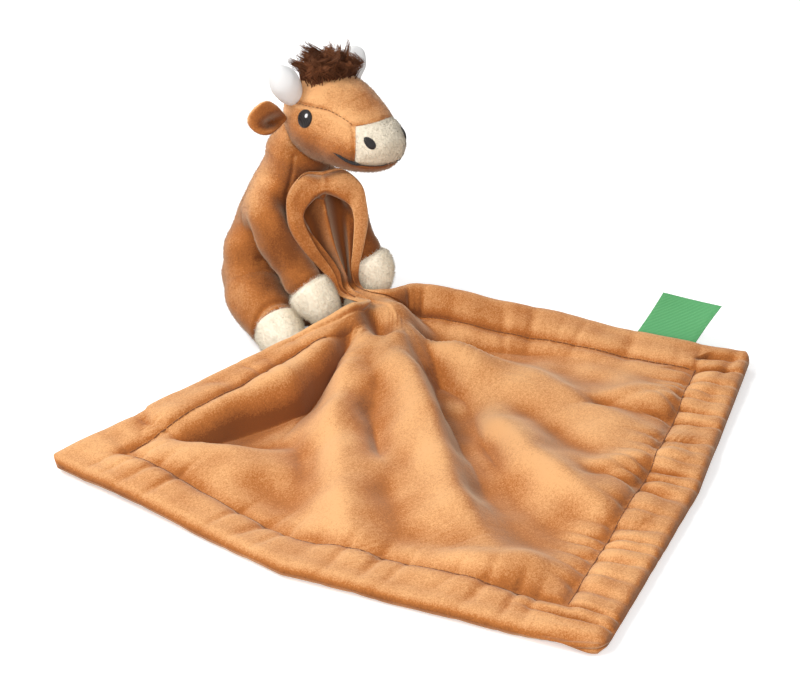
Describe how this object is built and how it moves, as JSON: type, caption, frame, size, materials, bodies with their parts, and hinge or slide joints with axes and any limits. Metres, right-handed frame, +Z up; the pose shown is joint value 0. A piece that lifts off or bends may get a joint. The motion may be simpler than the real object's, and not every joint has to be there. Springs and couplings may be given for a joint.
{
  "type": "comfort blanket lovey",
  "caption": "Seated plush calf that holds one gathered corner of a square two-layer velour comfort blanket, with a turning head, hinged legs and flopping ears.",
  "frame": {"origin": "middle of the flat seat under the calf, on the table", "axes": "+Z up, -Y the way the calf faces and the blanket is spread, +X the calf's left side"},
  "size_m": [0.317, 0.3463, 0.1464],
  "materials": {
    "velour": "caramel velour with a short dense pile",
    "sherpa": "cream short pile fleece",
    "felt": "white felt",
    "hair": "dark brown shaggy plush",
    "embroidery": "near black satin stitch",
    "filling": "loose polyester stuffing",
    "ribbon": "plain green woven ribbon",
    "thread": "brown sewing thread"
  },
  "bodies": {
    "torso_and_blanket": {"torso_cover": "velour", "torso_filling": "filling", "arm_right_cover": "velour", "hand_right_cover": "sherpa", "arm_right_filling": "filling", "arm_left_cover": "velour", "hand_left_cover": "sherpa", "arm_left_filling": "filling", "blanket_back": "velour", "blanket_top": "velour", "hand_tack_right": "thread", "hand_tack_left": "thread"},
    "neck": {"neck_filling": "filling"},
    "head": {"head_cover": "velour", "muzzle_cover": "sherpa", "head_filling": "filling", "horn_right": "felt", "horn_left": "felt", "hair_tuft": "hair", "eye_right": "embroidery", "eye_left": "embroidery", "nostril_right": "embroidery", "nostril_left": "embroidery", "mouth_stitch": "embroidery"},
    "ear_right": {"ear_right": "velour"},
    "ear_left": {"ear_left": "velour"},
    "leg_right": {"leg_right_cover": "velour", "hoof_right_cover": "sherpa", "leg_right_filling": "filling"},
    "leg_left": {"leg_left_cover": "velour", "hoof_left_cover": "sherpa", "leg_left_filling": "filling"},
    "label": {"label": "ribbon"}
  },
  "joints": [
    {"name": "neck_turn", "type": "hinge", "parent": "torso_and_blanket", "child": "neck", "pos_m": [0, -0.01, 0.09], "axis": [0, 0, 1], "range_deg": [-30, 15]},
    {"name": "neck_nod", "type": "hinge", "parent": "neck", "child": "head", "pos_m": [0, -0.01, 0.09], "axis": [-0.9903, -0.1392, 0], "range_deg": [0, 18]},
    {"name": "ear_right_flop", "type": "hinge", "parent": "head", "child": "ear_right", "pos_m": [-0.0176, -0.02212, 0.11693], "axis": [0.0279, 0.3822, 0.9237], "range_deg": [-20, 20], "stiffness_Nm_per_rad": 0.002},
    {"name": "ear_left_flop", "type": "hinge", "parent": "head", "child": "ear_left", "pos_m": [0.02852, -0.01564, 0.11285], "axis": [0.0279, 0.3822, 0.9237], "range_deg": [-20, 20], "stiffness_Nm_per_rad": 0.002},
    {"name": "hip_right_swing", "type": "hinge", "parent": "torso_and_blanket", "child": "leg_right", "pos_m": [-0.027, -0.004, 0.022], "axis": [0, 0, -1], "range_deg": [0, 25]},
    {"name": "hip_left_swing", "type": "hinge", "parent": "torso_and_blanket", "child": "leg_left", "pos_m": [0.027, -0.004, 0.022], "axis": [0, 0, 1], "range_deg": [0, 25]},
    {"name": "label_flap", "type": "hinge", "parent": "torso_and_blanket", "child": "label", "pos_m": [0.11291, -0.15392, 0.0057], "axis": [0.4807, -0.8769, 0], "range_deg": [-25, 25], "stiffness_Nm_per_rad": 0.002}
  ]
}
